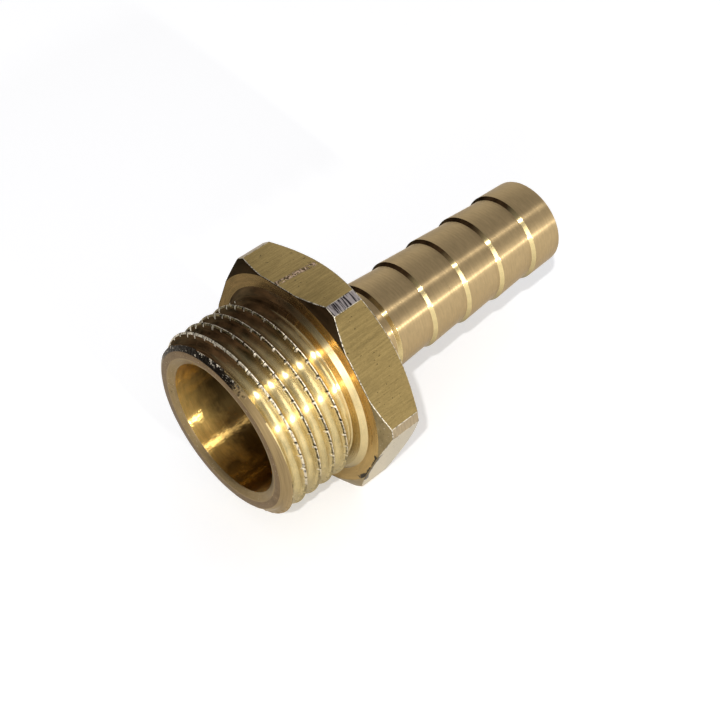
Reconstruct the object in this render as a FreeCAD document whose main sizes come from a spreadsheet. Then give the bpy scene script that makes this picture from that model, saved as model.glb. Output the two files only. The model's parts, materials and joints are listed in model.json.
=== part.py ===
"""Hose barb tail: a G 1/2 male pipe thread, a spanner hexagon and a barbed tail for a 10 mm hose.

One piece, turned from hexagonal brass bar. Millimetres, with the turning axis along X. The threaded
end is at -X, the barbed end at +X, and the piece lies on one flat of its hexagon on the plane Z = 0.
The thread's helix itself is not cut: the spigot is the thread's blank at its major diameter.
"""
import FreeCAD, Part
import os
import Sketcher
from FreeCAD import Placement, Rotation, Vector

NODE = "hose_tail"
ON_AXIS = "0"
SAME_PLACE = 1e-4  # two lengths that differ by less are the same
OVERCUT = 1  # how far a turning cut's profile reaches outside the bar

SIZES = (
    ("thread_diameter", 20.955, "major diameter of the G 1/2 thread"),
    ("spigot_length", 10.2, "end face to sealing face"),
    ("lead_depth", 1.17, "radial depth of the lead chamfer, down to the thread's root"),
    ("lead_angle", 30, "lead chamfer, measured from the end face"),
    ("relief_depth", 1.17, "radial depth of the thread's run-out groove"),
    ("relief_width", 0.9, "length of the run-out groove"),
    ("relief_bevel", 0.3, "45 degree bevel in the groove's corner at the collar"),
    ("collar_step", 0.5, "45 degree step from the thread's diameter out to the sealing face"),
    ("hex_across_flats", 24.6, "drawn hexagonal bar"),
    ("hex_length", 5.4, "sealing face to the hexagon's back face"),
    ("hex_chamfer_angle", 30, "chamfers of both hexagon ends, measured from the faces"),
    ("corner_turning", 0.35, "radial depth turned off the hexagon's six corners"),
    ("front_land", 0.2, "how far the sealing face's edge lies outside the flats"),
    ("back_land", 0.3, "how far the back face's edge lies inside the flats"),
    ("neck_length", 4.7, "hexagon's back face to the foot of the first barb"),
    ("neck_bevel", 0.4, "45 degree bevel in the corner between neck and hexagon"),
    ("tail_root_diameter", 10.0, "neck, and the foot of each barb"),
    ("barb_height", 0.33, "radial height of a barb above its foot"),
    ("barb_pitch", 5.27, "crest to crest"),
    ("barb_count", 5, "barbs in all, the tip's own barb among them"),
    ("barb_drop", 0.4, "axial length of a barb's steep side"),
    ("crest_round", 0.12, "radius on each barb's crest"),
    ("foot_round", 0.25, "radius at the foot of each steep side"),
    ("tip_length", 4.2, "last crest to the tail's end face"),
    ("tip_fall", 0.16, "radial fall from the last crest to the tail's end"),
    ("tip_round", 0.3, "radius on the tail's rim"),
    ("spigot_wall", 1.7, "wall between the counterbore and the thread's root"),
    ("counterbore_depth", 10.0, "end face to the start of the drill point"),
    ("mouth_chamfer", 0.75, "radial depth of the chamfer in the counterbore's mouth"),
    ("mouth_angle", 30, "mouth chamfer, measured from the end face"),
    ("drill_angle", 118, "point angle at the counterbore's bottom"),
    ("tail_wall", 1.0, "wall between the tail's bore and the feet of the barbs"),
    ("tip_bore_chamfer", 0.3, "45 degree chamfer in the tail bore's end"),
)

doc = FreeCAD.newDocument("HoseBarbTail")
sheet = doc.addObject("Spreadsheet::Sheet", "sizes")
for row, (alias, value, meaning) in enumerate(SIZES, start=1):
    sheet.set(f"A{row}", alias)
    sheet.set(f"B{row}", str(value))
    sheet.setAlias(f"B{row}", alias)
    sheet.set(f"C{row}", meaning)
doc.recompute()

body = doc.addObject("PartDesign::Body", "HoseTail")
body.Label = NODE


def size(expression):
    """The number that an expression on the sheet gives."""
    return float(body.evalExpression(expression))


def origin_feature(role):
    """One of the body's own origin planes or axes."""
    return next(item for item in body.Origin.OriginFeatures if item.Role == role)


def new_sketch(name, plane, offset=None):
    """A sketch on one of the body's origin planes, moved along its normal by an expression."""
    sketch = body.newObject("Sketcher::SketchObject", name)
    sketch.AttachmentSupport = [(origin_feature(plane), "")]
    sketch.MapMode = "FlatFace"
    if offset:
        sketch.AttachmentOffset = Placement(Vector(0, 0, size(offset)), Rotation())
        sketch.setExpression("AttachmentOffset.Base.z", offset)
    return sketch


def bind(sketch, constraint, expression):
    """Adds a driving dimension and ties it to the sheet."""
    index = sketch.addConstraint(constraint)
    sketch.setExpression(f"Constraints[{index}]", expression)


def profile_sketch(name, corners):
    """A closed half-section on the XZ plane. Each corner is two expressions: station and radius."""
    sketch = new_sketch(name, "XZ_Plane")
    points = [Vector(size(station), size(radius), 0) for station, radius in corners]
    count = len(points)
    for index, point in enumerate(points):
        sketch.addGeometry(Part.LineSegment(point, points[(index + 1) % count]), False)
    for index in range(count):
        sketch.addConstraint(Sketcher.Constraint("Coincident", index, 2, (index + 1) % count, 1))
    for index, (station, radius) in enumerate(corners):
        if radius == ON_AXIS:
            sketch.addConstraint(Sketcher.Constraint("PointOnObject", index, 1, -1))
        else:
            height = Sketcher.Constraint("DistanceY", -1, 1, index, 1, points[index].y)
            bind(sketch, height, radius)
        if station == ON_AXIS:
            sketch.addConstraint(Sketcher.Constraint("PointOnObject", index, 1, -2))
        else:
            length = Sketcher.Constraint("DistanceX", -1, 1, index, 1, points[index].x)
            bind(sketch, length, station)
    return sketch


def turned(kind, name, corners):
    """Revolves a half-section about the turning axis, to add material or to take it away."""
    sketch = profile_sketch(name + "Profile", corners)
    feature = body.newObject(kind, name)
    feature.Profile = sketch
    feature.ReferenceAxis = (sketch, ["H_Axis"])
    feature.Angle = 360
    doc.recompute()
    return feature


def ring_edges(feature, station, radius):
    """Names of the feature's circular edges of one radius at one station."""
    names = []
    for index, edge in enumerate(feature.Shape.Edges, start=1):
        if not isinstance(edge.Curve, Part.Circle):
            continue
        station_error = abs(edge.Curve.Center.x - station)
        radius_error = abs(edge.Curve.Radius - radius)
        if max(station_error, radius_error) < SAME_PLACE:
            names.append(f"Edge{index}")
    return names


def rounded(name, rings, radius):
    """Fillets the ring edges of the last feature. Each ring is a station and a radius."""
    last = body.Tip
    edges = []
    for station, ring_radius in rings:
        edges += ring_edges(last, size(station), size(ring_radius))
    feature = body.newObject("PartDesign::Fillet", name)
    feature.Base = (last, edges)
    feature.Radius = size(radius)
    feature.setExpression("Radius", radius)
    doc.recompute()
    return feature


# Radii of the turned parts
thread_radius = "sizes.thread_diameter / 2"
end_face_radius = f"{thread_radius} - sizes.lead_depth"
relief_radius = f"{thread_radius} - sizes.relief_depth"
bevel_top_radius = f"{relief_radius} + sizes.relief_bevel"
collar_radius = f"{thread_radius} + sizes.collar_step"
flat_radius = "sizes.hex_across_flats / 2"
sharp_corner = f"{flat_radius} / cos(30 deg)"
corner_radius = f"{sharp_corner} - sizes.corner_turning"
front_ring_radius = f"{flat_radius} + sizes.front_land"
back_ring_radius = f"{flat_radius} - sizes.back_land"
trim_radius = f"{sharp_corner} + {OVERCUT}"
root_radius = "sizes.tail_root_diameter / 2"
neck_foot_radius = f"{root_radius} + sizes.neck_bevel"
barb_radius = f"{root_radius} + sizes.barb_height"
tip_radius = f"{barb_radius} - sizes.tip_fall"
counterbore_radius = f"{end_face_radius} - sizes.spigot_wall"
mouth_radius = f"{counterbore_radius} + sizes.mouth_chamfer"
tail_bore_radius = f"{root_radius} - sizes.tail_wall"
tip_mouth_radius = f"{tail_bore_radius} + sizes.tip_bore_chamfer"

# Stations along the axis, from the threaded end face
lead_end = "sizes.lead_depth * tan(sizes.lead_angle * 1 deg)"
sealing_face = "sizes.spigot_length"
collar_foot = f"{sealing_face} - sizes.collar_step"
relief_start = f"{collar_foot} - sizes.relief_width"
bevel_foot = f"{collar_foot} - sizes.relief_bevel"
chamfer_rise = "tan(sizes.hex_chamfer_angle * 1 deg)"
front_corner = f"{sealing_face} + ({corner_radius} - ({front_ring_radius})) * {chamfer_rise}"
hex_back = "sizes.spigot_length + sizes.hex_length"
back_corner = f"{hex_back} - ({corner_radius} - ({back_ring_radius})) * {chamfer_rise}"
neck_start = f"{hex_back} + sizes.neck_bevel"
first_foot = f"{hex_back} + sizes.neck_length"
first_crest = f"{first_foot} + sizes.barb_drop"
second_foot = f"{first_foot} + sizes.barb_pitch"
last_foot = f"{first_foot} + (sizes.barb_count - 1) * sizes.barb_pitch"
last_crest = f"{last_foot} + sizes.barb_drop"
tail_end = f"{last_crest} + sizes.tip_length"
mouth_end = "sizes.mouth_chamfer * tan(sizes.mouth_angle * 1 deg)"
bore_bottom = "sizes.counterbore_depth"
drill_end = (f"{bore_bottom} + ({counterbore_radius} - ({tail_bore_radius}))"
             " / tan(sizes.drill_angle / 2 * 1 deg)")
tip_mouth = f"{tail_end} - sizes.tip_bore_chamfer"


def hexagon_bar():
    """The length of hexagonal bar that stays as the spanner hexagon, with two flats level."""
    sketch = new_sketch("HexagonOutline", "YZ_Plane", sealing_face)
    radius = size(sharp_corner)
    corners = [Rotation(Vector(0, 0, 1), 60 * turn).multVec(Vector(radius, 0, 0)) for turn in range(6)]
    for turn in range(6):
        sketch.addGeometry(Part.LineSegment(corners[turn], corners[(turn + 1) % 6]), False)
    circle = sketch.addGeometry(Part.Circle(Vector(0, 0, 0), Vector(0, 0, 1), radius), True)
    sketch.addConstraint(Sketcher.Constraint("Coincident", circle, 3, -1, 1))
    for turn in range(6):
        sketch.addConstraint(Sketcher.Constraint("Coincident", turn, 2, (turn + 1) % 6, 1))
        sketch.addConstraint(Sketcher.Constraint("PointOnObject", turn, 1, circle))
    for turn in range(1, 6):
        sketch.addConstraint(Sketcher.Constraint("Equal", 0, turn))
    sketch.addConstraint(Sketcher.Constraint("PointOnObject", 0, 1, -1))
    bind(sketch, Sketcher.Constraint("Radius", circle, radius), sharp_corner)
    pad = body.newObject("PartDesign::Pad", "Hexagon")
    pad.Profile = sketch
    pad.Length = size("sizes.hex_length")
    pad.setExpression("Length", "sizes.hex_length")
    doc.recompute()
    return pad


def hexagon_turning():
    """Turns the six corners down to a cylinder and chamfers both ends of the hexagon."""
    return turned("PartDesign::Groove", "HexagonTurning", (
        (sealing_face, front_ring_radius),
        (front_corner, corner_radius),
        (back_corner, corner_radius),
        (hex_back, back_ring_radius),
        (hex_back, trim_radius),
        (sealing_face, trim_radius),
    ))


def threaded_spigot():
    """The thread's blank: lead chamfer, major diameter, run-out groove and collar step."""
    return turned("PartDesign::Revolution", "Spigot", (
        (ON_AXIS, ON_AXIS),
        (ON_AXIS, end_face_radius),
        (lead_end, thread_radius),
        (relief_start, thread_radius),
        (relief_start, relief_radius),
        (bevel_foot, relief_radius),
        (collar_foot, bevel_top_radius),
        (collar_foot, thread_radius),
        (sealing_face, collar_radius),
        (sealing_face, ON_AXIS),
    ))


def neck():
    """The plain neck between the hexagon and the first barb."""
    return turned("PartDesign::Revolution", "Neck", (
        (hex_back, ON_AXIS),
        (hex_back, neck_foot_radius),
        (neck_start, root_radius),
        (first_foot, root_radius),
        (first_foot, ON_AXIS),
    ))


def barb_row():
    """Like barbs: steep towards the hexagon, falling gently towards the tip."""
    barb = turned("PartDesign::Revolution", "Barb", (
        (first_foot, ON_AXIS),
        (first_foot, root_radius),
        (first_crest, barb_radius),
        (second_foot, root_radius),
        (second_foot, ON_AXIS),
    ))
    row = body.newObject("PartDesign::LinearPattern", "BarbRow")
    row.Originals = [barb]
    row.Direction = (origin_feature("X_Axis"), [""])
    row.Length = size("(sizes.barb_count - 2) * sizes.barb_pitch")
    row.setExpression("Length", "(sizes.barb_count - 2) * sizes.barb_pitch")
    row.Occurrences = int(size("sizes.barb_count - 1"))
    row.setExpression("Occurrences", "sizes.barb_count - 1")
    body.Tip = row
    doc.recompute()
    return row


def tip_barb():
    """The last barb, a little shorter, which ends in the tail's end face."""
    return turned("PartDesign::Revolution", "TipBarb", (
        (last_foot, ON_AXIS),
        (last_foot, root_radius),
        (last_crest, barb_radius),
        (tail_end, tip_radius),
        (tail_end, ON_AXIS),
    ))


def passage():
    """The way through: chamfered counterbore, drill point and the tail's bore."""
    return turned("PartDesign::Groove", "Passage", (
        (ON_AXIS, ON_AXIS),
        (ON_AXIS, mouth_radius),
        (mouth_end, counterbore_radius),
        (bore_bottom, counterbore_radius),
        (drill_end, tail_bore_radius),
        (tip_mouth, tail_bore_radius),
        (tail_end, tip_mouth_radius),
        (tail_end, ON_AXIS),
    ))


hexagon_bar()
hexagon_turning()
threaded_spigot()
neck()
barb_row()
tip_barb()

barbs = range(int(size("sizes.barb_count")))
crests = [(f"{first_crest} + {barb} * sizes.barb_pitch", barb_radius) for barb in barbs]
feet = [(f"{first_foot} + {barb} * sizes.barb_pitch", root_radius) for barb in barbs]
rounded("BarbCrestRounds", crests, "sizes.crest_round")
rounded("BarbFootRounds", feet, "sizes.foot_round")
rounded("TipRound", [(tail_end, tip_radius)], "sizes.tip_round")
passage()

# The piece lies on a flat of its hexagon, with the middle of its length over the origin
body.setExpression("Placement.Base.x", f"-({tail_end}) / 2")
body.setExpression("Placement.Base.z", flat_radius)
doc.recompute()

failed = [item.Name for item in doc.Objects if {"Invalid", "Error"} & set(item.State)]
if failed:
    raise RuntimeError("features that failed: " + ", ".join(failed))
shape = body.Shape
if shape.isNull() or not shape.isValid() or len(shape.Solids) != 1:
    raise RuntimeError("the hose tail is not one valid solid")

os.makedirs("parts", exist_ok=True)
shape.exportStep(os.path.join("parts", NODE + ".step"))
solid = shape.Solids[0]
box = solid.optimalBoundingBox(False)
print(f"{NODE}: {box.XLength:.3f} x {box.YLength:.3f} x {box.ZLength:.3f} mm, {solid.Volume:.1f} mm3")
print("centre of mass", tuple(round(value, 3) for value in solid.CenterOfMass))
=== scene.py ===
"""Hose barb tail in turned brass, with its true thread and finishes in place of the CAD solid.

The row frame is in metres. The turning axis runs along +X from the threaded end to the barbed end,
and the piece lies on one flat of its hexagon. A station is a distance along the axis from the
threaded end face. An angle round the axis starts at the top and grows towards -Y.
"""

import json
import math
import random
from dataclasses import dataclass

import bmesh
import bpy
from bpy.props import FloatProperty, FloatVectorProperty, IntProperty, PointerProperty
from mathutils import Matrix, Vector


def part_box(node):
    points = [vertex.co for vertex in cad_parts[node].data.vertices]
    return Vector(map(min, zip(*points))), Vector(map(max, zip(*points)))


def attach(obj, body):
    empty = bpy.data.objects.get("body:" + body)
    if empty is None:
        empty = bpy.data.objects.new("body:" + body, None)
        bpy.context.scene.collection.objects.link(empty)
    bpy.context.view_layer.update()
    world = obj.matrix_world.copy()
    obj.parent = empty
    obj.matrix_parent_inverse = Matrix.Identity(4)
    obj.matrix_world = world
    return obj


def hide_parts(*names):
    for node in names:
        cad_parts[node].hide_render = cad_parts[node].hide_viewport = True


bl_info = {
    "name": "Hose Barb Tail",
    "version": (1, 0, 0),
    "blender": (4, 5, 0),
    "location": "View3D > Sidebar > Hose Tail",
    "description": "Builds a brass hose tail with its thread, hexagon and barbs, and its stage",
    "category": "Add Mesh",
}

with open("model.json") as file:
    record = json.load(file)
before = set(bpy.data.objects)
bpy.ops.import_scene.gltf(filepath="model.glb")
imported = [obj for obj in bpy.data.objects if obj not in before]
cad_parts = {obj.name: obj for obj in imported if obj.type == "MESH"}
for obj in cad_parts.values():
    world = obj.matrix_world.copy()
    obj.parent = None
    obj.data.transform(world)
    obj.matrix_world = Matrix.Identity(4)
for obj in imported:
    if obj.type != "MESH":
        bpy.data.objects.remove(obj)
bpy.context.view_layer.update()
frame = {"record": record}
NODE = "hose_tail"
LOW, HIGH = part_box(NODE)
MOUNTS = {mount["name"]: mount for mount in frame["record"]["mounts"]}

MM = 0.001
FRONT = LOW.x
LENGTH = HIGH.x - LOW.x
AXIS_HEIGHT = (LOW.z + HIGH.z) / 2
THREAD_RADIUS = MOUNTS["thread"]["dims"]["r_mm"] * MM
COUNTERBORE_RADIUS = MOUNTS["counterbore"]["dims"]["r_mm"] * MM
TAIL_BORE_RADIUS = MOUNTS["tail_bore"]["dims"]["r_mm"] * MM
SEALING_STATION = MOUNTS["sealing_face"]["pos_m"][0] - FRONT
TURN = 2 * math.pi
SIXTH = TURN / 6


def length_setting(name, description, millimetres):
    """A length in the add-on's settings. The default is given in millimetres."""
    return FloatProperty(name=name, description=description, default=millimetres * MM,
                         min=0.0, precision=5, unit="LENGTH", subtype="DISTANCE")


def angle_setting(name, description, degrees):
    """An angle in the add-on's settings. The default is given in degrees."""
    return FloatProperty(name=name, description=description, default=math.radians(degrees),
                         unit="ROTATION", subtype="ANGLE")


def colour_setting(name, description, colour):
    """A linear colour in the add-on's settings."""
    return FloatVectorProperty(name=name, description=description, default=colour, size=3,
                               min=0.0, max=1.0, subtype="COLOR")


class ThreadSettings(bpy.types.PropertyGroup):
    """The threaded spigot."""
    pitch: length_setting("Pitch", "Crest to crest along the axis", 1.814)
    depth: length_setting("Depth", "Crest to root, radially", 0.93)
    first_crest: length_setting("First crest", "Station of the crest that passes the top", 1.96)
    crest_land: length_setting("Crest land", "Width of a crest's narrow flat", 0.09)
    torn_width: length_setting("Torn width", "Dark torn strip beside each crest", 0.1)
    flank_angle: angle_setting("Flank angle", "Each flank's lean from square to the axis", 27.5)
    lead_depth: length_setting("Lead depth", "Radial depth of the lead chamfer", 1.17)
    lead_angle: angle_setting("Lead angle", "Lead chamfer, from the end face", 30)
    relief_depth: length_setting("Relief depth", "Radial depth of the run-out groove", 1.17)
    relief_width: length_setting("Relief width", "Length of the run-out groove", 0.9)
    collar_step: length_setting("Collar step", "45 degree step up to the sealing face", 0.5)
    burr_spacing: length_setting("Burr spacing", "Burr to burr along a crest", 1.62)
    burr_size: length_setting("Burr size", "Width of a burr, and of the nick beside it", 0.25)
    burr_height: length_setting("Burr height", "How far a burr stands off the flank", 0.13)
    nick_depth: length_setting("Nick depth", "How deep the nick beside a burr is", 0.16)


class HexagonSettings(bpy.types.PropertyGroup):
    """The spanner hexagon."""
    length: length_setting("Length", "Sealing face to back face", 5.4)
    corner_turning: length_setting("Corner turning", "Depth turned off the corners", 0.35)
    front_land: length_setting("Front land", "Sealing face's edge outside the flats", 0.2)
    back_land: length_setting("Back land", "Back face's edge inside the flats", 0.3)
    chamfer_angle: angle_setting("Chamfer angle", "End chamfers, from the faces", 30)
    edge_round: length_setting("Edge round", "Radius on the hexagon's edges", 0.1)
    # the bright burr line is partly a painted highlight
    burr_line: length_setting("Burr line", "Width of the bright line beside each corner", 0.08)


class BarbSettings(bpy.types.PropertyGroup):
    """The neck and the barbed tail."""
    neck_length: length_setting("Neck length", "Hexagon to the first barb's foot", 4.7)
    neck_round: length_setting("Neck round", "Radius between neck and hexagon", 0.4)
    root_radius: length_setting("Root radius", "Neck, and the foot of each barb", 5.0)
    height: length_setting("Height", "Barb above its foot", 0.33)
    pitch: length_setting("Pitch", "Crest to crest", 5.27)
    count: IntProperty(name="Count", description="Barbs in all", default=5, min=1)
    drop: length_setting("Drop", "Axial length of a barb's steep side", 0.4)
    crest_round: length_setting("Crest round", "Radius on each crest", 0.1)
    foot_round: length_setting("Foot round", "Radius at each foot", 0.12)
    tip_fall: length_setting("Tip fall", "Radial fall from the last crest to the end", 0.16)
    tip_round: length_setting("Tip round", "Radius on the tail's rim", 0.3)
    bore_chamfer: length_setting("Bore chamfer", "Chamfer in the tail bore's end", 0.3)


class BoreSettings(bpy.types.PropertyGroup):
    """The bore of the threaded end."""
    depth: length_setting("Depth", "End face to the drill point", 10.0)
    mouth_chamfer: length_setting("Mouth chamfer", "Radial depth of the mouth's chamfer", 0.75)
    mouth_angle: angle_setting("Mouth angle", "Mouth chamfer, from the end face", 30)
    drill_angle: angle_setting("Drill angle", "Whole point angle", 118)
    edge_round: length_setting("Edge round", "Radius on the turned edges", 0.05)


class FinishSettings(bpy.types.PropertyGroup):
    """Colours of the brass by the way that it was cut, of its painted shade and of the floor.

    Each zone's colour is also set lighter or darker by how that zone is lit, which partly paints
    light and shade into it.
    """
    # the end face's colour is set dark, partly as painted shade for the dark surroundings that it
    # reflects
    face: colour_setting("End face", "Faced end of the thread", (0.20, 0.132, 0.068))
    mouth: colour_setting("Mouth", "Mouth's chamfer, and lead chamfer", (0.27, 0.19, 0.09))
    thread: colour_setting("Thread", "Thread, and steep sides of the barbs", (0.93, 0.74, 0.36))
    crest: colour_setting("Crests", "Torn crests of the thread, and all burrs", (0.95, 0.85, 0.67))
    collar: colour_setting("Collar", "Run-out groove and collar step", (0.90, 0.71, 0.36))
    sealing: colour_setting("Sealing face", "Face that seals against a port", (0.66, 0.44, 0.16))
    drawn: colour_setting("Drawn flats", "Flats of the hexagon", (0.345, 0.247, 0.095))
    chamfer: colour_setting("Chamfers", "End chamfers of the hexagon", (0.28, 0.21, 0.10))
    corner: colour_setting("Corners", "Turned corners of the hexagon", (0.34, 0.265, 0.165))
    tail: colour_setting("Tail", "Neck and barbs", (0.52, 0.375, 0.19))
    bore: colour_setting("Bore", "Walls of both bores", (0.92, 0.60, 0.18))
    # colour of the painted shade: a dark brown cover on the upper side turned away from the lamps,
    # and the dark deep in the bore
    shade_film: colour_setting("Film", "Brown film where the brass is dulled", (0.046, 0.024, 0.010))
    floor: colour_setting("Floor", "Pale floor", (0.85, 0.85, 0.85))


class Settings(bpy.types.PropertyGroup):
    """Everything that a user of the add-on may change."""
    thread: PointerProperty(type=ThreadSettings)
    hexagon: PointerProperty(type=HexagonSettings)
    barbs: PointerProperty(type=BarbSettings)
    bore: PointerProperty(type=BoreSettings)
    finish: PointerProperty(type=FinishSettings)


# Finishes of the brass, in the order of the mesh's material slots
FINISHES = ("face", "mouth", "lead", "thread", "crest", "torn", "nick", "collar", "sealing",
            "drawn", "chamfer", "corner", "burr", "tail", "drop", "bore")
# Steps round the threaded half and round the tail
SPIGOT_STEPS = 500
TAIL_STEPS = 240
THREAD_SEED = 7
# Edges sharper than this are shaded as edges
CREASE = math.radians(32)
# A strip of the tail that rises faster than this is the steep side of a barb
STEEP = 0.35
# Drop of a crest's land to its edges, and steps over half of a root's arc
LAND_DROP = 0.02 * MM
ROOT_STEPS = 6
# Turns of the helix that are added at each of its ends, to be cut off there
SPARE_TURNS = 3
# Points of the helix that come nearer than this to its ends join the rings there
NEAR = 1e-6
# Share of the run-out groove's width that the cone at its front takes
GROOVE_CONE = 0.35
# How far behind the lead chamfer the thread's first flank is still cut like it
LEAD_BEYOND = 0.35 * MM
# Share of a pitch over which the first crest is torn to a broad bright line
BRIGHT_SHARE = 0.3
# Back wall of the run-out groove: its lean, its end below the crests, and the round at its foot
WALL_LEAN = 0.1 * MM
WALL_DROP = 0.06 * MM
WALL_ROUND = 0.3 * MM
# Radius on the collar step's edges
STEP_ROUND = 0.05 * MM
# Margins of the rings on flat faces. The first three lie outside the collar, and the seam's lies
# outside the neck too. The others lie inside the back land's edge and outside the tail's bore.
COLLAR_MARGIN = 0.3 * MM
SEAM_MARGIN = 0.6 * MM
FRONT_MARGIN = 0.9 * MM
BACK_MARGIN = 0.8 * MM
RIM_MARGIN = 0.2 * MM
# Steps from a flat's middle to its front arc's end, to the burr line, over it and to the corner
SECTOR_STEPS = (8, 18, 2, 4)


def even_angles(count):
    """Angles of a ring with even steps."""
    return [TURN * index / count for index in range(count)]


def arc_round(before, corner, after, radius, points):
    """Points that round a profile's corner. Each point is a station and a radius from the axis."""
    before, corner, after = Vector(before), Vector(corner), Vector(after)
    first, second = before - corner, after - corner
    # a short line between two corners keeps room for both their arcs
    reach = min(first.length, second.length) * 0.45
    if reach < 1e-9:
        return [corner] * points
    tangent = min(radius / math.tan(first.angle(second) / 2), reach)
    start, end = corner + first.normalized() * tangent, corner + second.normalized() * tangent
    steps = [index / (points - 1) for index in range(points)]
    # a quadratic curve with the corner as its control point is close to an arc at these sizes
    return [start * (1 - t) ** 2 + corner * 2 * t * (1 - t) + end * t ** 2 for t in steps]


def softened(corners, rounds, points=4):
    """A profile with its inner corners rounded. rounds holds a radius for each corner, or 0."""
    path = [Vector(corners[0])]
    for before, corner, after, radius in zip(corners, corners[1:], corners[2:], rounds[1:]):
        path += arc_round(before, corner, after, radius, points) if radius else [Vector(corner)]
    return path + [Vector(corners[-1])]


def new_object(name, data):
    """A new object in the scene."""
    made = bpy.data.objects.new(name, data)
    bpy.context.scene.collection.objects.link(made)
    return made


class Skin:
    """A closed skin made of rings round the turning axis, each stitched to the one before."""

    def __init__(self):
        self.mesh = bmesh.new()
        self.first = None
        self.last = None

    def vertex(self, angle, station, radius):
        """A vertex at an angle, a station and a radius. The mesh's own Z is the turning axis."""
        return self.mesh.verts.new((-radius * math.cos(angle), -radius * math.sin(angle), station))

    def ring(self, angles, points):
        """A loose ring. points is one profile point, or one for each angle."""
        if isinstance(points, Vector):
            points = [points] * len(angles)
        vertices = [self.vertex(angle, *point) for angle, point in zip(angles, points)]
        return tuple(angles), vertices

    def face(self, corners, finish):
        """A face over corners that may repeat. Nothing is made where fewer than three differ."""
        unique = list(dict.fromkeys(corners))
        if len(unique) > 2:
            made = self.mesh.faces.new(unique)
            made.material_index = FINISHES.index(finish)
            made.smooth = True

    def stitch(self, near, far, finish):
        """Joins two rings, also where they have different angles."""
        near_angles, near_vertices = near
        far_angles, far_vertices = far
        near_loop, far_loop = near_vertices + near_vertices[:1], far_vertices + far_vertices[:1]
        if near_angles == far_angles:
            for corners in zip(near_loop, near_loop[1:], far_loop[1:], far_loop):
                self.face(corners, finish)
            return
        near_turn = near_angles + (near_angles[0] + TURN,)
        far_turn = far_angles + (far_angles[0] + TURN,)
        here, there = 0, 0
        while here < len(near_angles) or there < len(far_angles):
            near_now, far_now = near_loop[here], far_loop[there]
            # a triangle on the ring whose next vertex comes first
            if there == len(far_angles) or (
                    here < len(near_angles) and near_turn[here + 1] <= far_turn[there + 1]):
                here += 1
                self.face((near_now, near_loop[here], far_now), finish)
            else:
                there += 1
                self.face((near_now, far_loop[there], far_now), finish)

    def add(self, ring, finish):
        """Stitches a ring on to the skin."""
        if self.last:
            self.stitch(self.last, ring, finish)
        else:
            self.first = ring
        self.last = ring

    def turn(self, angles, path, finish):
        """Adds a ring for each point of a turned profile, with the strip that leads up to it."""
        for point in path:
            self.add(self.ring(angles, point), finish)

    def close(self, finish):
        """Stitches the last ring to the first."""
        self.stitch(self.last, self.first, finish)

    def to_object(self, name):
        """The finished skin as an object with creases where its faces meet sharply."""
        bmesh.ops.dissolve_degenerate(self.mesh, dist=1e-8, edges=self.mesh.edges)
        bmesh.ops.recalc_face_normals(self.mesh, faces=self.mesh.faces)
        for edge in self.mesh.edges:
            edge.smooth = edge.calc_face_angle(0.0) < CREASE
        data = bpy.data.meshes.new(name)
        self.mesh.to_mesh(data)
        self.mesh.free()
        thing = new_object(name, data)
        thing.location = (FRONT, 0, AXIS_HEIGHT)
        thing.rotation_euler = (0, TURN / 4, 0)
        bpy.context.view_layer.update()
        return thing


def bore_profile(settings):
    """Both bores, from the tail's end to the edge of the threaded end face."""
    bore, barbs = settings.bore, settings.barbs
    mouth_radius = COUNTERBORE_RADIUS + bore.mouth_chamfer
    drill_length = (COUNTERBORE_RADIUS - TAIL_BORE_RADIUS) / math.tan(bore.drill_angle / 2)
    corners = (
        (LENGTH, TAIL_BORE_RADIUS + barbs.bore_chamfer + bore.edge_round * 2),
        (LENGTH, TAIL_BORE_RADIUS + barbs.bore_chamfer),
        (LENGTH - barbs.bore_chamfer, TAIL_BORE_RADIUS),
        (bore.depth + drill_length, TAIL_BORE_RADIUS),
        (bore.depth, COUNTERBORE_RADIUS),
        (bore.mouth_chamfer * math.tan(bore.mouth_angle), COUNTERBORE_RADIUS),
    )
    soft = bore.edge_round
    inside = softened(corners, (0, soft, soft, soft, soft, 0))
    mouth = softened((corners[-2], corners[-1], (0, mouth_radius), (0, mouth_radius + 3 * soft)),
                     (0, soft, soft, 0))
    return inside, mouth[1:]


def thread_columns(thread):
    """One pitch of the thread's form: places after the crest's middle, drops below it, finishes."""
    half_land = thread.crest_land / 2
    half_pitch = thread.pitch / 2
    lean = math.tan(thread.flank_angle)
    cosine, sine = math.cos(thread.flank_angle), math.sin(thread.flank_angle)
    # the root's arc touches both flanks
    root_round = ((half_pitch - half_land) * cosine - thread.depth * sine) / (1 - sine)
    touch = half_pitch - root_round * cosine
    torn_end = half_land + thread.torn_width
    # the torn strip's end, one column that keeps the burrs short, and one more on the flank
    flank = (torn_end, torn_end + thread.burr_size * 0.35, torn_end + (touch - torn_end) * 0.7)
    half = [(0.0, 0.0, "crest"), (half_land, LAND_DROP, "torn")]
    half += [(place, (place - half_land) / lean, "thread") for place in flank]
    for step in range(ROOT_STEPS):
        angle = (math.pi / 2 - thread.flank_angle) * (1 - step / ROOT_STEPS)
        place = half_pitch - root_round * math.sin(angle)
        half.append((place, thread.depth - root_round + root_round * math.cos(angle), "thread"))
    half.append((half_pitch, thread.depth, "thread"))
    # each finish is that of the strip after its column, so the mirrored strips take the next one's
    mirrored = [(thread.pitch - half[number][0], half[number][1], half[number - 1][2])
                for number in range(len(half) - 2, 0, -1)]
    return half + mirrored


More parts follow.
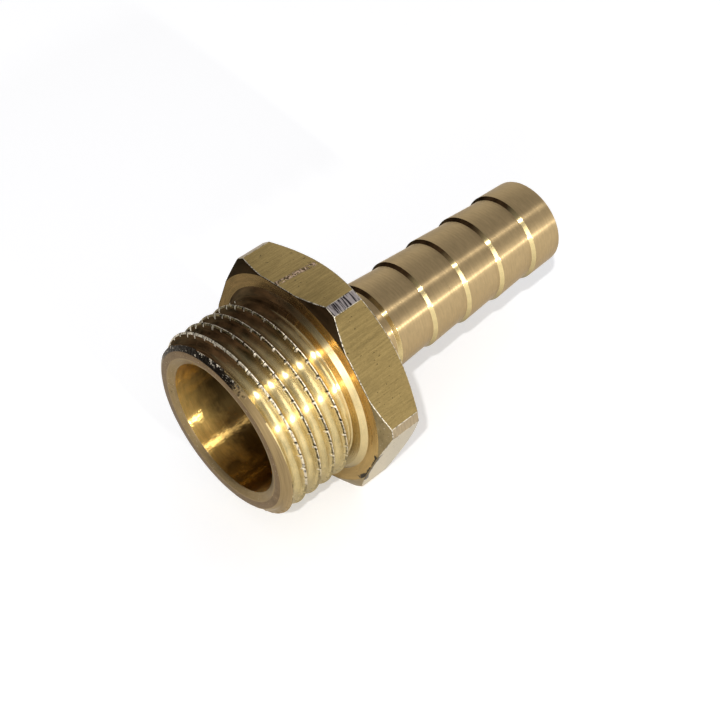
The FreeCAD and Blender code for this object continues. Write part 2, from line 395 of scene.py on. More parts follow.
class Burrs:
    """Torn beads on the crest's front flank, each with a nick beside it."""

    def __init__(self, thread, turns):
        """Places the burrs on a helix of that many turns."""
        self.size = thread.burr_size
        self.height = thread.burr_height
        self.depth = thread.nick_depth
        self.below = thread.crest_land / 2 + thread.torn_width
        chance = random.Random(THREAD_SEED)
        self.marks = []
        along = 0.0
        while along < TURN * turns * THREAD_RADIUS:
            along += thread.burr_spacing * chance.uniform(0.86, 1.16)
            strength = chance.uniform(0.55, 1.25)
            side = chance.uniform(-0.25, 0.25) * self.size
            self.marks.append((along, side, strength, chance.uniform(0.4, 1.2)))

    def at(self, along, across):
        """Height on the crest's flank, and the finish there if it isn't the flank's own.

        along runs on the helix, and across is the distance in front of the crest's middle.
        """
        height, finish = 0.0, None
        for place, side, strength, nick in self.marks:
            step = along - place
            if abs(step) > 2 * self.size:
                continue
            # distances from the middles of the bead and of the nick, each in its own radii
            bead = math.hypot(step, across - self.below - side) / (self.size * 0.5)
            if bead < 1:
                height += self.height * strength * (1 - bead * bead)
                finish = "crest"
            # a nick is a real pit, painted near black as the painted shadow beside its bead
            hole = math.hypot(step + self.size * 0.7, (across - self.below * 0.6) * 0.8)
            hole /= self.size * 0.42
            if hole < 1:
                height -= self.depth * nick * (1 - hole * hole)
                finish = finish or "nick"
        return height, finish


def groove_stations(thread):
    """Stations of the run-out groove: its front, the foot of its cone and the collar's foot."""
    collar_foot = SEALING_STATION - thread.collar_step
    front = collar_foot - thread.relief_width
    return front, front + thread.relief_width * GROOVE_CONE, collar_foot


def threaded_spigot(skin, thread, angles):
    """The helix, cut off by the lead chamfer in front and by the run-out groove behind."""
    face_radius = THREAD_RADIUS - thread.lead_depth
    lead_end = thread.lead_depth * math.tan(thread.lead_angle)
    groove_front, end = groove_stations(thread)[:2]

    def envelope(station):
        """The turned blank's radius, which no part of the thread stands out of."""
        if station < lead_end:
            return face_radius + station / math.tan(thread.lead_angle)
        if station > groove_front:
            share = min(1.0, (station - groove_front) / (end - groove_front))
            return THREAD_RADIUS - thread.relief_depth * share
        return THREAD_RADIUS

    form = thread_columns(thread)
    turns = int(end / thread.pitch) + 2 * SPARE_TURNS
    columns = []
    for turn in range(turns):
        crest = thread.first_crest + (turn - SPARE_TURNS) * thread.pitch
        columns += [(crest + place, drop, place, turn, finish) for place, drop, finish in form]
    burrs = Burrs(thread, turns + 1)
    burr_reach = thread.torn_width + thread.burr_size
    lead_reach = lead_end + LEAD_BEYOND
    bright_end = thread.first_crest + BRIGHT_SHARE * thread.pitch

    first_ring = skin.last
    last_ring = skin.ring(angles, Vector((end, THREAD_RADIUS - thread.relief_depth)))
    grid = []
    for index, angle in enumerate(angles):
        row = []
        for place, drop, offset, turn, finish in columns:
            station = place + thread.pitch * angle / TURN
            if station <= NEAR:
                row.append((first_ring[1][index], "lead"))
            elif station >= end - NEAR:
                row.append((last_ring[1][index], "thread"))
            else:
                radius = THREAD_RADIUS - drop
                # in front of the next crest, or behind this one
                across = thread.pitch - offset if offset > thread.pitch / 2 else -offset
                if abs(across) < burr_reach:
                    crest_turn = turn + 1 if across > 0 else turn
                    along = (angle + TURN * crest_turn) * THREAD_RADIUS
                    height, torn = burrs.at(along, across)
                    radius += height
                    finish = torn or finish
                limit = envelope(station)
                if finish == "torn" and across > 0 and station < bright_end:
                    finish = "crest"
                on_lead = station < lead_end and radius > limit
                if on_lead or across > 0 and station + across < lead_reach:
                    finish = "lead"
                row.append((skin.vertex(angle, station, min(radius, limit)), finish))
        grid.append(row)
    # a full circle round the helix ends one pitch further on
    grid.append(grid[0][len(form):])
    for row, following in zip(grid, grid[1:]):
        for here, beside, beyond, across in zip(row, row[1:], following[1:], following):
            finish = beside[1] if here[1] == "lead" else here[1]
            skin.face((here[0], beside[0], beyond[0], across[0]), finish)
    skin.last = last_ring


def collar_profile(thread):
    """From the bottom of the run-out groove, over the collar step, to the sealing face."""
    relief_radius = THREAD_RADIUS - thread.relief_depth
    groove_foot, collar_foot = groove_stations(thread)[1:]
    collar_radius = THREAD_RADIUS + thread.collar_step
    corners = (
        (groove_foot, relief_radius),
        (collar_foot - WALL_LEAN, relief_radius),
        (collar_foot, THREAD_RADIUS - WALL_DROP),
        (SEALING_STATION, collar_radius),
        (SEALING_STATION, collar_radius + COLLAR_MARGIN),
    )
    return softened(corners, (0, WALL_ROUND, STEP_ROUND, STEP_ROUND, 0), 6)


def sector_angles(limits, steps):
    """Angles from the middle of a flat to its corner, with as many steps up to each limit."""
    angles = [0.0]
    for limit, step in zip(limits, steps):
        before = angles[-1]
        angles += [before + (limit - before) * (index + 1) / step for index in range(step)]
    return angles


def hexagon(skin, settings, spigot_angles, tail_angles):
    """The flats, the turned corners and both chamfers, with true arcs where they meet."""
    shape = settings.hexagon
    apothem = HIGH.z - AXIS_HEIGHT
    corner_radius = apothem / math.cos(SIXTH / 2) - shape.corner_turning
    front_ring = apothem + shape.front_land
    back_ring = apothem - shape.back_land
    rise = math.tan(shape.chamfer_angle)
    back = SEALING_STATION + shape.length
    collar_radius = THREAD_RADIUS + settings.thread.collar_step
    neck_radius = settings.barbs.root_radius + settings.barbs.neck_round

    front_edge = math.acos(apothem / front_ring)
    corner_edge = math.acos(apothem / corner_radius)
    half_line = shape.burr_line / 2 / corner_radius
    limits = (front_edge, corner_edge - half_line, corner_edge + half_line, SIXTH / 2)
    half = sector_angles(limits, SECTOR_STEPS)
    sector = sorted({-angle for angle in half[1:-1]} | set(half))
    angles = sorted((number * SIXTH + angle) % TURN for number in range(6) for angle in sector)

    def profile(angle):
        """The hexagon's profile at one angle. Every angle has as many points."""
        lean = (angle + SIXTH / 2) % SIXTH - SIXTH / 2
        outer = min(apothem / math.cos(lean), corner_radius)
        front_radius = min(front_ring, outer)
        front_corner = (SEALING_STATION + (outer - front_radius) * rise, outer)
        back_corner = (back - (outer - back_ring) * rise, outer)
        inner_front = (SEALING_STATION, collar_radius + FRONT_MARGIN)
        inner_back = (back, back_ring - BACK_MARGIN)
        face_edge = (SEALING_STATION, front_radius)
        # inside the front ring a flat meets the sealing face with no chamfer between
        if outer - front_radius < 1e-7:
            front = arc_round(inner_front, face_edge, back_corner, shape.edge_round, 6)
        else:
            front = arc_round(inner_front, face_edge, front_corner, shape.edge_round, 3)
            front += arc_round(face_edge, front_corner, back_corner, shape.edge_round, 3)
        behind = arc_round(front_corner, back_corner, (back, back_ring), shape.edge_round, 3)
        behind += arc_round(back_corner, (back, back_ring), inner_back, shape.edge_round, 3)
        return [Vector(inner_front)] + front + behind + [Vector(inner_back)]

    rows = [profile(angle) for angle in angles]
    skin.turn(spigot_angles, [Vector((SEALING_STATION, collar_radius + SEAM_MARGIN))], "sealing")
    # one finish for the strip up to each point of the profile
    # the burr strips on the edge rounds are painted bright, partly as a painted highlight
    finishes = (["sealing"] * 2 + ["chamfer"] * 3 + ["burr"] * 2 + ["drawn"] + ["burr"] * 2
                + ["chamfer"] * 2 + ["tail"] * 2)
    for finish, points in zip(finishes, zip(*rows)):
        skin.add(skin.ring(angles, list(points)), finish)
    paint_corners(skin, corner_edge, half_line)
    skin.turn(tail_angles, [Vector((back, neck_radius + SEAM_MARGIN))], "tail")


def paint_corners(skin, corner_edge, half_line):
    """Takes the drawn finish off the turned corners, and gives a burr to each line beside them.

    The burr finish is painted bright, partly as a painted highlight along each line.
    """
    for face in skin.mesh.faces:
        if face.material_index != FINISHES.index("drawn"):
            continue
        middle = face.calc_center_median()
        angle = math.atan2(-middle.y, -middle.x) % SIXTH
        lean = min(angle, SIXTH - angle)
        if lean > corner_edge + half_line:
            face.material_index = FINISHES.index("corner")
        elif lean > corner_edge - half_line:
            face.material_index = FINISHES.index("burr")


def tail_profile(settings):
    """From the hexagon's back face along the neck and over the barbs to the tail's end face."""
    barbs = settings.barbs
    back = SEALING_STATION + settings.hexagon.length
    crest_radius = barbs.root_radius + barbs.height
    corners = [(back, barbs.root_radius + 2 * barbs.neck_round), (back, barbs.root_radius)]
    rounds = [0, barbs.neck_round]
    for number in range(barbs.count):
        foot = back + barbs.neck_length + number * barbs.pitch
        corners += [(foot, barbs.root_radius), (foot + barbs.drop, crest_radius)]
        rounds += [barbs.foot_round, barbs.crest_round]
    corners += [(LENGTH, crest_radius - barbs.tip_fall),
                (LENGTH, TAIL_BORE_RADIUS + barbs.bore_chamfer + RIM_MARGIN)]
    rounds += [barbs.tip_round, 0]
    return softened(corners, rounds, 6)


def arithmetic(operation, reflected=False):
    """One of Python's operators as a method that adds a Math node."""
    def method(self, other):
        values = (other, self) if reflected else (self, other)
        return self.tree.node("ShaderNodeMath", dict(enumerate(values)), {"operation": operation})
    return method


class Signal:
    """A node's output that takes part in Python sums. Only single values are used this way."""

    def __init__(self, tree, socket):
        self.tree = tree
        self.socket = socket

    __add__, __radd__ = arithmetic("ADD"), arithmetic("ADD", True)
    __sub__, __rsub__ = arithmetic("SUBTRACT"), arithmetic("SUBTRACT", True)
    __mul__, __rmul__ = arithmetic("MULTIPLY"), arithmetic("MULTIPLY", True)
    __truediv__, __rtruediv__ = arithmetic("DIVIDE"), arithmetic("DIVIDE", True)
    __pow__, __rpow__ = arithmetic("POWER"), arithmetic("POWER", True)


# Asks a node for all its outputs
ALL = "all outputs"


class Tree:
    """A material's or a world's nodes."""

    def __init__(self, owner):
        owner.use_nodes = True
        self.nodes = owner.node_tree.nodes
        self.links = owner.node_tree.links
        self.nodes.clear()

    def node(self, kind, sockets=None, settings=None, output=0):
        """Adds a node with values or links in its sockets. Returns one of its outputs, or ALL."""
        made = self.nodes.new(kind)
        for name, value in (settings or {}).items():
            setattr(made, name, value)
        for name, value in (sockets or {}).items():
            socket = made.inputs[name]
            if isinstance(value, Signal):
                self.links.new(value.socket, socket)
            else:
                socket.default_value = value
        if output == ALL:
            return [Signal(self, socket) for socket in made.outputs]
        return Signal(self, made.outputs[output]) if made.outputs else None

    def noise(self, vector, scale, detail, roughness=0.6):
        """A noise from 0 to 1."""
        return self.node("ShaderNodeTexNoise", {
            "Vector": vector, "Scale": scale, "Detail": detail, "Roughness": roughness},
            output="Fac")

    def vector(self, x, y, z):
        """A vector of three values."""
        return self.node("ShaderNodeCombineXYZ", {"X": x, "Y": y, "Z": z})

    def mix(self, share, first, second):
        """A colour between two colours."""
        return self.node("ShaderNodeMix", {0: share, 6: first, 7: second},
                         {"data_type": "RGBA"}, 2)

    def ramp(self, value, low, high):
        """0 below low, 1 above high and an even slope between."""
        return self.node("ShaderNodeMapRange", {"Value": value, "From Min": low, "From Max": high},
                         {"clamp": True})


# Sides of the turned surfaces, across and down, seen from the threaded end. Painted shade darkens
# the first, the upper side turned away from the lamps. The lead chamfer is torn at the second, and
# painted shade darkens the third in the bore, where little light reaches.
PAINTED_SHADE_SIDE = (0.82, -0.57)
TORN_SIDE = (0.21, -0.98)
SHADED_SIDE = (-0.10, 0.99)
UNDERSIDE = (0.0, 1.0)
# The middle of the flat that is painted paler than the others: a painted reflection of the
# bright floor
FLOOR_FACING_FLAT_SIDE = (-0.87, 0.5)
# Where that flat's front edge is bitten: its side, and the edge's station and radius in millimetres
BITTEN_SIDE = (-0.85, 0.53)
BITTEN_EDGE = (SEALING_STATION / MM, 12.5)
# The corner that the turning tool chattered on
CHATTER_SIDE = (-0.5, -0.87)
# The scratch that runs along the top flat: station of its middle in millimetres, its lean, and
# the distances from its line where it ends and where it is full
SCRATCH_MIDDLE = 13.0
SCRATCH_LEAN = 0.114
SCRATCH_EDGES = (0.42, 0.2)
# Heights between which the scratch appears, on the top flat only, in millimetres down from the axis
TOP_FLAT = (-12.0, -12.2)
# Radii of the lead chamfer's edges, and stations between which painted shade darkens the bore, in
# millimetres
LEAD_EDGES = (9.3, 10.5)
BORE_DARKENS = (2.0, 4.6)

# Colours that no setting changes. The first is what brass keeps of the light that grazes it.
EDGE_TINT = (0.78, 0.75, 0.70, 1)
SPECK_LIGHT = (0.85, 0.78, 0.62, 1)
SPECK_DARK = (0.02, 0.015, 0.010, 1)
BITTEN_BLACK = (0.02, 0.016, 0.012, 1)
LEAD_BLACK = (0.014, 0.010, 0.007, 1)
# Nicks are real pits, painted near black as a painted shadow beside each burr
NICK_SHADOW_LIGHT, NICK_SHADOW_DARK = (0.03, 0.02, 0.012, 1), (0.012, 0.009, 0.006, 1)
# The first colour of this line is a painted reflection of the bright floor on one flat
PAINTED_FLOOR_REFLECTION = (0.62, 0.57, 0.46, 1)
SCRATCH_LIGHT, SCRATCH_DARK = (0.62, 0.44, 0.32, 1), (0.05, 0.03, 0.02, 1)
CHATTER_LIGHT, CHATTER_DARK = (0.62, 0.55, 0.52, 1), (0.035, 0.028, 0.03, 1)
# Turns the stretch of the highlights across the tool's circles. It is a share of a full turn.
ROUND_LINES = 0.25


class Brass(Tree):
    """A new brass material. Places are in millimetres along, across, down and out from the axis."""

    def __init__(self, name):
        self.material = bpy.data.materials.new("brass_" + name)
        super().__init__(self.material)
        place = self.node("ShaderNodeTexCoord", output="Object")
        parts = self.node("ShaderNodeSeparateXYZ", {"Vector": place}, output=ALL)
        self.down, self.across, self.along = (part / MM for part in parts)
        self.out = (self.across * self.across + self.down * self.down) ** 0.5
        # changes along cylinders, across faces and over chamfers, so that tool lines show on all
        self.profile = self.along - self.out * 1.31

    def turned_to(self, side):
        """How far a place is turned to a side, from 1 at its middle to -1 opposite it."""
        return (self.across * side[0] + self.down * side[1]) / self.out

    def lines(self, fineness, detail=3.0, breaks=1.5):
        """Noise drawn out into circles round the axis. fineness is in lines for each millimetre."""
        turned = self.vector(self.profile * fineness, self.across / self.out * breaks,
                             self.down / self.out * breaks)
        return self.noise(turned, 1.0, detail)

    def grain(self, fineness, detail=3.0, start=0.0):
        """Noise with grains of the same size in every direction."""
        point = self.vector(self.along + start, self.across, self.down)
        return self.noise(point, fineness, detail)

    def drawn(self, fineness, stretch, detail=3.0):
        """Noise drawn out along the axis."""
        slow = fineness / stretch
        point = self.vector(self.along * slow, self.across * fineness, self.down * fineness)
        return self.noise(point, 1.0, detail, 0.65)

    def bite(self):
        """Where the hexagon's front edge is bitten black and ragged."""
        ragged = self.grain(2.2, 4.0)
        from_edge = (self.along - BITTEN_EDGE[0]) + (BITTEN_EDGE[1] - self.out)
        front = self.ramp(from_edge - ragged * 0.8, 0.02, -0.04)
        side = self.ramp(self.turned_to(BITTEN_SIDE) + (ragged - 0.5) * 0.05, 0.966, 0.972)
        return front * side

    def paint(self, share, colour):
        """Mixes a share of a colour into the brass."""
        self.base = self.mix(share, self.base, colour)

    def finish(self, rough, height, anisotropy=0.0, rotation=0.0, shade_film=None, painted_shade_colour=None):
        """Ends the material in its shader and returns it.

        height is the relief in millimetres. film is the share under a matt, dark cover of painted
        shade, and stain is that cover's colour.
        """
        bump = self.node("ShaderNodeBump", {"Height": height, "Strength": 1.0, "Distance": MM})
        surface = self.node("ShaderNodeBsdfPrincipled", {
            "Base Color": self.base, "Metallic": 1.0, "Roughness": rough, "Anisotropic": anisotropy,
            "Anisotropic Rotation": rotation, "Specular Tint": EDGE_TINT, "Normal": bump})
        if shade_film:
            cover = self.node("ShaderNodeBsdfPrincipled", {
                "Base Color": painted_shade_colour, "Roughness": 0.5, "Specular IOR Level": 0.0, "Normal": bump})
            surface = self.node("ShaderNodeMixShader", {0: shade_film, 1: surface, 2: cover})
        self.node("ShaderNodeOutputMaterial", {"Surface": surface})
        return self.material


def shade(colour, amount):
    """A colour made lighter or darker, as four numbers. Its hue stays, also at the top."""
    amount = min(amount, 1 / max(colour[:3]))
    return (*(channel * amount for channel in colour[:3]), 1.0)


@dataclass
class Turning:
    """How a turned surface looks. Lengths are in millimetres, and the other amounts are shares."""
    colour: tuple
    roughness: float
    # tool lines for each millimetre, their relief, and how far their light and dark lie apart
    fineness: float = 6.0
    depth: float = 0.01
    tone: float = 0.15
    contrast: float = 1.0
    anisotropy: float = 0.95
    # distance between the darker marks that the tool's feed leaves
    feed: float = 0.0
    feed_tone: float = 0.0
    # dull patches, light specks with dark holes, and the relief of slow dimples
    blotch: float = 0.1
    specks: float = 0.0
    dimple: float = 0.0
    # the painted shade's dark brown cover, its colour, and how far it reaches beyond its own side
    shade_film: float = 0.0
    shade_film_colour: tuple = None
    shade_film_start: float = 0.0
    # painted shade underneath, and painted shade inside the bore
    underside: float = 0.0
    shaded: float = 0.0
    bitten: bool = False


def turned_brass(name, look):
    """Brass with circular tool lines, which stretch its highlights along the axis."""
    brass = Brass(name)
    fine = brass.lines(look.fineness)
    broad = brass.lines(look.fineness * 0.15, 2.0)
    cloud = brass.grain(0.45)
    streaks = brass.lines(look.fineness * 0.5, 3.0, 5.0)
    spread = 0.15 / look.contrast
    texture = fine * 0.15 + streaks * 0.45 + broad * 0.2 + cloud * 0.2
    shares = brass.ramp(texture, 0.5 - spread, 0.5 + spread)
    dark, light = shade(look.colour, 1 - look.tone), shade(look.colour, 1 + look.tone)
    brass.base = brass.mix(shares, dark, light)
    rough = brass.ramp(broad, 0.2, 0.8) * 0.06 + (look.roughness - 0.03)
    height = fine * look.depth + broad * look.depth
    if look.blotch:
        patches = brass.ramp(brass.grain(0.9, 4.0), 0.45, 0.75)
        brass.paint(patches * look.blotch, shade(look.colour, 0.45))
    if look.dimple:
        height = height + brass.grain(1.1) * look.dimple
    if look.feed:
        turn = brass.profile * (TURN / look.feed) + broad * 1.5
        wave = brass.node("ShaderNodeMath", {0: turn}, {"operation": "COSINE"})
        mark = (wave * 0.5 + 0.5) ** 2.0
        brass.paint(mark * look.feed_tone, shade(look.colour, 0.3))
        height = height + mark * 0.006
    # painted shade underneath
    if look.underside:
        low = brass.ramp(brass.turned_to(UNDERSIDE), -0.2, 0.75)
        brass.paint(low * look.underside, shade(look.colour, 0.35))
    # painted shade inside the bore: on its side that little light reaches, and deeper in
    if look.shaded:
        low = brass.ramp(brass.turned_to(SHADED_SIDE) + (cloud - 0.5) * 0.3, 0.78, 0.97) * 0.85
        deep = brass.ramp(brass.along + (cloud - 0.5) * 4.0, *BORE_DARKENS) * 0.88
        brass.paint((low + deep - low * deep) * look.shaded, shade(look.shade_film_colour, 0.9))
    if look.specks:
        spots = brass.ramp(brass.grain(5.5, 2.0), 0.66, 0.72)
        brass.paint(spots * look.specks, SPECK_LIGHT)
        holes = brass.ramp(brass.grain(4.5, 2.0, 40.0), 0.34, 0.28)
        brass.paint(holes * look.specks, SPECK_DARK)
    if look.bitten:
        brass.paint(brass.bite(), BITTEN_BLACK)
    cover, painted_shade_colour = None, None
    # painted shade: a matt dark brown cover on the upper side turned away from the lamps
    if look.shade_film:
        reach = brass.turned_to(PAINTED_SHADE_SIDE) + (cloud - 0.5) * 0.4 + (fine - 0.5) * 0.5
        cover = brass.ramp(reach + look.shade_film_start, 0.05, 0.7) * look.shade_film
        painted_shade_colour = brass.mix(shares, shade(look.shade_film_colour, 0.12), shade(look.shade_film_colour, 2.0))
    return brass.finish(rough, height, look.anisotropy, ROUND_LINES, cover, painted_shade_colour)


def lead_brass(colour, light):
    """The lead chamfer: turned brass, black and torn with light chips at the top."""
    brass = Brass("lead")
    fine = brass.lines(5.0)
    grain = brass.grain(2.6, 4.0)
    streak = brass.lines(5.0, 4.0, 12.0)
    brass.base = brass.mix(brass.ramp(fine, 0.3, 0.7), shade(colour, 0.85), shade(colour, 1.5))
    # light chips along the chamfer's outer edge, black metal along its inner one
    outward = brass.ramp(brass.out, *LEAD_EDGES)
    # painted shade along the outer edge, on the upper side turned away from the lamps
    side_shade = brass.ramp(brass.turned_to(PAINTED_SHADE_SIDE) + (streak - 0.5) * 0.4, 0.1, 0.6) * outward
    brass.paint(side_shade, shade(colour, 0.1))
    chips = brass.ramp(brass.grain(5.0, 3.0) * 0.4 + streak * 0.6 + outward * 0.17, 0.62, 0.68)
    torn = brass.mix(chips, LEAD_BLACK, light)
    reach = brass.turned_to(TORN_SIDE) + (grain - 0.5) * 0.5 + (streak - 0.5) * 0.3
    share = brass.ramp(reach, 0.66, 0.78)
    brass.paint(share, torn)
    height = fine * 0.008 + share * (chips * 0.05 + grain * 0.12)
    return brass.finish(0.36, height, 0.3, ROUND_LINES)


def drawn_brass(colour):
    """Brass with fine straight lines along the bar, as it left the drawing die."""
    brass = Brass("drawn")
    lines = brass.drawn(5.5, 18.0)
    grain = brass.drawn(9.0, 2.0)
    cloud = brass.grain(0.3, 2.0)
    pits = brass.ramp(brass.drawn(4.2, 1.6, 1.0), 0.29, 0.24)
    shares = brass.ramp(lines * 0.5 + grain * 0.35 + cloud * 0.15, 0.38, 0.62)
    brass.base = brass.mix(shares, shade(colour, 0.74), shade(colour, 1.26))
    # painted reflection: the flat that faces the floor is painted paler
    pale = brass.ramp(brass.turned_to(FLOOR_FACING_FLAT_SIDE), 0.85, 0.9)
    brass.paint(pale * 0.8, PAINTED_FLOOR_REFLECTION)
    brass.paint(pits * 0.8, shade(colour, 0.15))
    side = brass.across + (brass.along - SCRATCH_MIDDLE) * SCRATCH_LEAN + (lines - 0.5) * 0.5
    near = brass.ramp((side * side) ** 0.5, *SCRATCH_EDGES) * brass.ramp(brass.down, *TOP_FLAT)
    scratch = near * brass.ramp(brass.grain(1.8, 4.0), 0.4, 0.48)
    chips = brass.ramp(brass.grain(4.0, 2.0), 0.45, 0.55)
    brass.paint(scratch * 0.85, brass.mix(chips, SCRATCH_DARK, SCRATCH_LIGHT))
    bite = brass.bite()
    brass.paint(bite, BITTEN_BLACK)
    height = lines * 0.01 + grain * 0.006 - pits * 0.02 - scratch * 0.06 - bite * 0.2
    return brass.finish(lines * 0.1 + 0.29, height, 0.5)


def corner_brass(colour):
    """A turned corner, with the coarse marks of a chattering tool on one side."""
    brass = Brass("corner")
    fine = brass.lines(5.0, 3.0, 6.0)
    plain = brass.mix(brass.ramp(fine, 0.3, 0.7), shade(colour, 1.0), shade(colour, 1.5))
    marked = brass.mix(brass.ramp(fine, 0.42, 0.56), CHATTER_DARK, CHATTER_LIGHT)
    share = brass.ramp(brass.turned_to(CHATTER_SIDE), 0.6, 0.9)
    brass.base = brass.mix(share, plain, marked)
    return brass.finish(0.34, fine * 0.03, 0.6, ROUND_LINES)


def torn_brass(name, light, dark, roughness, threshold, gold=None):
    """Rough torn metal, light where it broke and dark in its hollows.

    Where a gold is given, the tearing fades into it towards the underside.
    """
    brass = Brass(name)
    grain = brass.grain(4.0)
    brass.base = brass.mix(brass.ramp(grain, threshold - 0.08, threshold + 0.08), dark, light)
    # painted shade, a little darker on the upper side turned away from the lamps
    side_shade = brass.ramp(brass.turned_to(PAINTED_SHADE_SIDE), 0.0, 0.9)
    brass.paint(side_shade * 0.15, shade(light, 0.3))
    brass.paint(brass.bite(), BITTEN_BLACK)
    if gold:
        low = brass.ramp(brass.turned_to(UNDERSIDE) + (grain - 0.5) * 1.2, -0.05, 0.5)
        brass.paint(low * 0.8, gold)
    return brass.finish(roughness, grain * 0.05)


def brass_materials(finish):
    """One material for each way that the brass was cut, in the order of FINISHES."""
    gold = shade(finish.thread, 0.5)
    light = shade(finish.crest, 1)
    shade_film = finish.shade_film
    return (
        turned_brass("face", Turning(
            finish.face, 0.42, 5.0, 0.008, anisotropy=0.3, blotch=0.5, specks=0.7)),
        turned_brass("mouth", Turning(
            finish.mouth, 0.36, 5.0, 0.008, anisotropy=0.3, blotch=0.3, specks=0.4)),
        lead_brass(finish.mouth, light),
        turned_brass("thread", Turning(
            finish.thread, 0.26, 8.0, 0.03, 0.4, 1.25, anisotropy=1.0, blotch=0.2, specks=0.2,
            shade_film=0.97, shade_film_colour=shade_film, shade_film_start=0.16, underside=0.85)),
        torn_brass("crest", light, shade(finish.crest, 0.14), 0.42, 0.44, gold),
        torn_brass("torn", shade(finish.thread, 0.4), shade(finish.thread, 0.06), 0.4, 0.52, gold),
        torn_brass("nick", NICK_SHADOW_LIGHT, NICK_SHADOW_DARK, 0.5, 0.5, gold),
        turned_brass("collar", Turning(
            finish.collar, 0.22, 8.0, 0.02, 0.25, anisotropy=1.0, shade_film=0.96, shade_film_colour=shade_film,
            underside=0.85)),
        turned_brass("sealing", Turning(
            finish.sealing, 0.27, 6.0, 0.02, 0.25, shade_film=0.78, shade_film_colour=shade_film, underside=0.6,
            bitten=True)),
        drawn_brass(finish.drawn),
        turned_brass("chamfer", Turning(
            finish.chamfer, 0.36, 3.0, 0.012, 0.3, anisotropy=0.5, blotch=0.3, specks=0.6,
            shade_film=0.95, shade_film_colour=shade(shade_film, 0.3), shade_film_start=0.9)),
        corner_brass(finish.corner),
        # burrs on the hexagon's edges, painted bright: partly a painted highlight along each edge
        torn_brass("burr", shade(finish.crest, 0.8), shade(finish.crest, 0.12), 0.5, 0.47),
        turned_brass("tail", Turning(
            finish.tail, 0.3, 7.0, 0.006, 0.14, anisotropy=1.0, feed=0.45, feed_tone=0.03,
            underside=0.45)),
        turned_brass("drop", Turning(
            shade(finish.thread, 0.85), 0.2, 8.0, 0.006, anisotropy=0.9, shade_film=0.98,
            shade_film_colour=shade(shade_film, 0.5), shade_film_start=0.35, underside=1.0)),
        turned_brass("bore", Turning(
            finish.bore, 0.3, 5.0, 0.015, 0.3, anisotropy=1.0, dimple=0.035, shade_film_colour=shade_film,
            shaded=0.95)),
    )


class HOSETAIL_OT_fitting(bpy.types.Operator):
    """Builds the whole fitting as one closed piece of brass"""
    bl_idname = "hosetail.fitting"
    bl_label = "Brass fitting"

    def execute(self, context):
        settings = context.scene.hose_tail
        spigot_angles = even_angles(SPIGOT_STEPS)
        tail_angles = even_angles(TAIL_STEPS)
        skin = Skin()
        inside, mouth = bore_profile(settings)
        skin.turn(tail_angles, inside[:-1], "bore")
        skin.turn(spigot_angles, mouth[:1], "bore")
        skin.turn(spigot_angles, mouth[1:], "mouth")
        face_radius = THREAD_RADIUS - settings.thread.lead_depth
        skin.turn(spigot_angles, [Vector((0, face_radius))], "face")
        threaded_spigot(skin, settings.thread, spigot_angles)
        # the spigot ends in the collar profile's first ring
        collar = collar_profile(settings.thread)
        skin.turn(spigot_angles, collar[1:-1], "collar")
        skin.turn(spigot_angles, collar[-1:], "sealing")
        hexagon(skin, settings, spigot_angles, tail_angles)
        before = None
        for point in tail_profile(settings):
            steep = before and point.y - before.y > STEEP * (point.x - before.x)
            skin.turn(tail_angles, [point], "drop" if steep else "tail")
            before = point
        skin.close("tail")
        fitting = skin.to_object("hose_tail_brass")
        for material in brass_materials(settings.finish):
            fitting.data.materials.append(material)
        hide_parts(NODE)
        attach(fitting, "root")
        return {"FINISHED"}


# The photograph's view in the row frame. The lens, the sensor and the place are in millimetres.
LENS = 65.93
SENSOR = 36.0
CAMERA_PLACE = Vector((-70.212, -86.97, 101.851)) * MM
CAMERA_RIGHT = Vector((0.72753, -0.67633, -0.11524))
CAMERA_UP = Vector((0.50773, 0.41779, 0.75343))
CAMERA_CLIP = (0.005, 50.0)
FLOOR_SIZE = 20.0
# Light that the floor gives off only where it is seen, directly or in the brass, to be white
FLOOR_GLOW = 0.34
# Each lamp's name, direction from the object, distance, width and height in metres, and light level
LAMPS = (
    ("lamp_above_camera", (-0.49, -0.50, 0.72), 1.2, (0.03, 0.03), 0.45),
    ("lamp_low", (-0.16, -0.975, 0.155), 1.2, (0.03, 0.03), 0.33),
    ("softbox_low", (-0.82, -0.55, 0.18), 1.2, (1.0, 0.6), 0.36),
    ("softbox_side", (0.45, -0.87, 0.10), 1.2, (1.2, 0.6), 0.05),
)
# The studio round the object: pale walls, a darker ceiling, and one dark side with its direction
WALLS = (0.95, 0.95, 0.95, 1)
CEILING = (0.38, 0.38, 0.40, 1)
DARKNESS = (0.02, 0.02, 0.02, 1)
DARK_SIDE = Vector((-0.71, 0.70, 0.0))


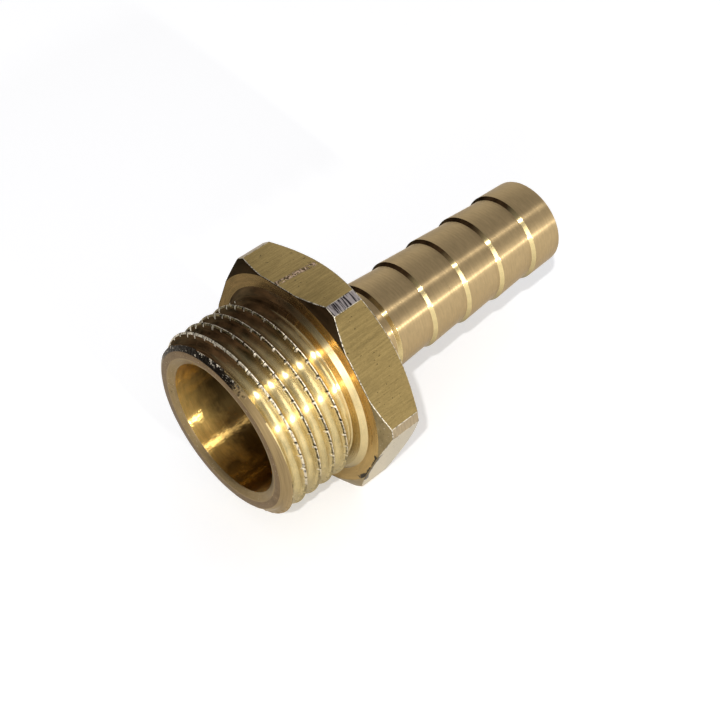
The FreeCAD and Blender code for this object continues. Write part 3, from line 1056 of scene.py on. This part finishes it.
class HOSETAIL_OT_stage(bpy.types.Operator):
    """Adds the pale floor, the lamps, the world and the camera"""
    bl_idname = "hosetail.stage"
    bl_label = "Stage"

    def execute(self, context):
        scene = context.scene
        self.add_floor(scene)
        self.add_lamps()
        self.add_world(scene)
        self.add_camera(scene)
        scene.view_settings.view_transform = "Standard"
        return {"FINISHED"}

    def add_floor(self, scene):
        """A pale floor that keeps the shadow, and shows white where it is seen."""
        half = FLOOR_SIZE / 2
        data = bpy.data.meshes.new("floor")
        corners = [(-half, -half, 0), (half, -half, 0), (half, half, 0), (-half, half, 0)]
        data.from_pydata(corners, [], [(0, 1, 2, 3)])
        floor = new_object("floor", data)
        material = bpy.data.materials.new("pale_floor")
        tree = Tree(material)
        camera_ray, glossy_ray, transmission_ray = (
            tree.node("ShaderNodeLightPath", output=f"Is {kind} Ray")
            for kind in ("Camera", "Glossy", "Transmission"))
        seen = camera_ray + glossy_ray + transmission_ray
        colour = shade(scene.hose_tail.finish.floor, 1)
        matt = tree.node("ShaderNodeBsdfDiffuse", {"Color": colour})
        glow = tree.node("ShaderNodeEmission", {"Color": (1, 1, 1, 1), "Strength": FLOOR_GLOW})
        pale = tree.node("ShaderNodeAddShader", {0: matt, 1: glow})
        surface = tree.node("ShaderNodeMixShader", {0: seen, 1: matt, 2: pale})
        tree.node("ShaderNodeOutputMaterial", {"Surface": surface})
        data.materials.append(material)

    def add_lamps(self):
        """Lamps that all look at the middle of the fitting."""
        middle = Vector((0, 0, AXIS_HEIGHT))
        for name, direction, distance, (width, height), level in LAMPS:
            data = bpy.data.lights.new(name, "AREA")
            data.shape = "ELLIPSE"
            data.size = width
            data.size_y = height
            # at a level of 1, white that faces a lamp renders as 1, whatever the lamp's distance
            data.energy = level * (math.pi * distance) ** 2
            lamp = new_object(name, data)
            lamp.location = middle + Vector(direction).normalized() * distance
            lamp.rotation_mode = "QUATERNION"
            lamp.rotation_quaternion = (middle - lamp.location).to_track_quat("-Z", "Y")

    def add_world(self, scene):
        """A plain studio, whose walls the brass reflects."""
        world = bpy.data.worlds.new("studio")
        scene.world = world
        tree = Tree(world)
        place = tree.node("ShaderNodeTexCoord", output="Generated")
        x, y, z = tree.node("ShaderNodeSeparateXYZ", {"Vector": place}, output=ALL)
        overhead = tree.ramp(z - y * 0.25, 0.15, 0.85)
        dark_side = tree.ramp(x * DARK_SIDE.x + y * DARK_SIDE.y, 0.3, 0.75)
        colour = tree.mix(overhead, WALLS, CEILING)
        colour = tree.mix(dark_side, colour, DARKNESS)
        light = tree.node("ShaderNodeBackground", {"Color": colour, "Strength": 1.0})
        tree.node("ShaderNodeOutputWorld", {"Surface": light})

    def add_camera(self, scene):
        """A camera at the photograph's view."""
        data = bpy.data.cameras.new("camera")
        data.sensor_width = SENSOR
        data.lens = LENS
        data.clip_start, data.clip_end = CAMERA_CLIP
        camera = new_object("camera", data)
        back = CAMERA_RIGHT.cross(CAMERA_UP)
        turn = Matrix((CAMERA_RIGHT, CAMERA_UP, back)).transposed()
        camera.matrix_world = Matrix.Translation(CAMERA_PLACE) @ turn.to_4x4()
        scene.camera = camera


class HOSETAIL_PT_panel(bpy.types.Panel):
    """Lists the steps that build the fitting and its stage"""
    bl_idname = "HOSETAIL_PT_panel"
    bl_label = "Hose Tail"
    bl_space_type = "VIEW_3D"
    bl_region_type = "UI"
    bl_category = "Hose Tail"

    def draw(self, context):
        for step in STEPS:
            self.layout.operator(step.bl_idname)


STEPS = (HOSETAIL_OT_fitting, HOSETAIL_OT_stage)
CLASSES = (ThreadSettings, HexagonSettings, BarbSettings, BoreSettings, FinishSettings, Settings,
           *STEPS, HOSETAIL_PT_panel)


def register():
    for each in CLASSES:
        bpy.utils.register_class(each)
    bpy.types.Scene.hose_tail = PointerProperty(type=Settings)


def unregister():
    del bpy.types.Scene.hose_tail
    for each in reversed(CLASSES):
        bpy.utils.unregister_class(each)


def main():
    """Builds everything in order."""
    register()
    bpy.ops.hosetail.fitting()
    bpy.ops.hosetail.stage()


if __name__ == "__main__":
    main()
